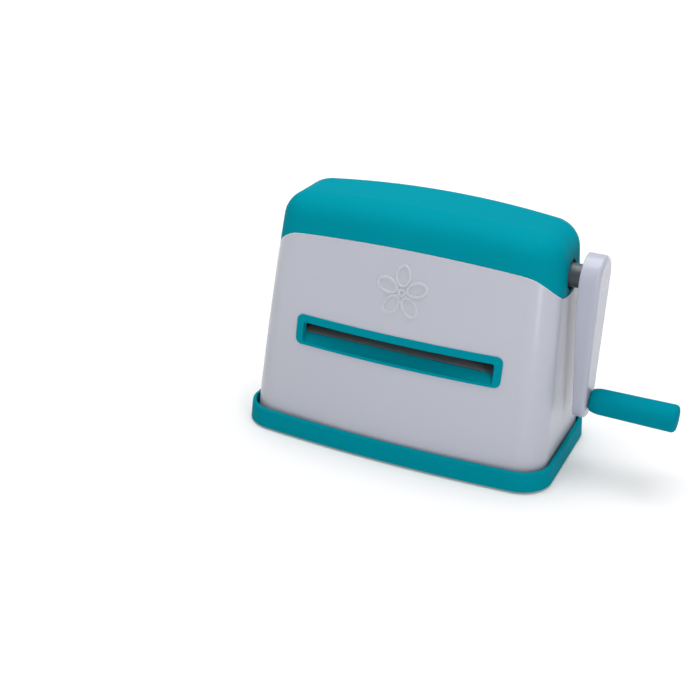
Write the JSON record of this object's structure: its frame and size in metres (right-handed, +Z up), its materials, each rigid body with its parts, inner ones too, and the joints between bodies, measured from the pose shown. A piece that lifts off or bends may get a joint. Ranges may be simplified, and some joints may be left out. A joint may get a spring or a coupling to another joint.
{
  "type": "die cutting machine",
  "caption": "Tabletop hand-cranked roller machine for die cutting and embossing paper: tapered housing with a feed slot front to rear, domed cover, rimmed base and side crank.",
  "frame": {"origin": "on the table, under the middle of the base, on the underside of the centre foot", "axes": "+Z up, +X towards the crank, -Y towards the user who feeds the front slot"},
  "size_m": [0.338, 0.1464, 0.1956],
  "materials": {
    "teal_plastic": "satin",
    "teal_grip": "soft matte",
    "housing_plastic": "gloss",
    "arm_plastic": "gloss",
    "dark_plastic": "satin",
    "table_plastic": "satin",
    "roller_rubber": "smooth matte",
    "foot_rubber": "matte",
    "frame_steel": "zinc plated, satin",
    "shaft_steel": "ground",
    "fastener_steel": "zinc plated",
    "bronze": "sintered, oiled",
    "gear_nylon": "moulded, greased"
  },
  "bodies": {
    "chassis": {"base_tray": "teal_plastic", "corner_feet": "foot_rubber", "centre_foot": "foot_rubber", "right_side_frame": "frame_steel", "left_side_frame": "frame_steel", "roller_bushes": "bronze", "crank_bushes": "bronze", "tie_bars": "shaft_steel", "feed_tables": "table_plastic", "tie_bar_screws": "fastener_steel", "frame_screws": "fastener_steel", "frame_nuts": "fastener_steel", "front_housing": "housing_plastic", "rear_housing": "housing_plastic", "top_cover": "teal_plastic", "front_bezel": "teal_plastic", "rear_bezel": "teal_plastic", "housing_screws": "fastener_steel", "base_screws": "fastener_steel", "shaft_grommet": "dark_plastic"},
    "crank": {"crank_shaft": "shaft_steel", "crank_retaining_ring": "fastener_steel", "crank_pinion": "shaft_steel", "pinion_key": "fastener_steel", "pinion_spacer": "dark_plastic", "hub_collar": "dark_plastic", "collar_screw": "fastener_steel", "crank_arm": "arm_plastic", "arm_screw": "fastener_steel", "arm_cap": "arm_plastic", "grip_spindle": "shaft_steel", "spindle_nut": "fastener_steel"},
    "upper_roller": {"upper_roller_core": "shaft_steel", "upper_roller_sleeve": "roller_rubber", "upper_drive_gear": "gear_nylon", "upper_timing_gear": "gear_nylon", "upper_gear_key": "fastener_steel", "upper_retaining_rings": "fastener_steel"},
    "lower_roller": {"lower_roller_core": "shaft_steel", "lower_roller_sleeve": "roller_rubber", "lower_timing_gear": "gear_nylon", "lower_gear_key": "fastener_steel", "lower_retaining_rings": "fastener_steel"},
    "grip": {"handle_grip": "teal_grip", "grip_end_cap": "teal_grip"}
  },
  "joints": [
    {"name": "crank_turn", "type": "hinge", "parent": "chassis", "child": "crank", "pos_m": [0.086, 0, 0.1565], "axis": [1, 0, 0], "continuous": true},
    {"name": "upper_roller_spin", "type": "hinge", "parent": "chassis", "child": "upper_roller", "pos_m": [0, 0, 0.1135], "axis": [1, 0, 0], "continuous": true},
    {"name": "lower_roller_spin", "type": "hinge", "parent": "chassis", "child": "lower_roller", "pos_m": [0, 0, 0.0695], "axis": [1, 0, 0], "continuous": true},
    {"name": "grip_spin", "type": "hinge", "parent": "crank", "child": "grip", "pos_m": [0.17, 0, 0.0579], "axis": [1, 0, 0], "continuous": true}
  ],
  "couplings": [
    {"joint": "upper_roller_spin", "follows": "crank_turn", "ratio": -0.59259},
    {"joint": "lower_roller_spin", "follows": "crank_turn", "ratio": 0.59259}
  ]
}
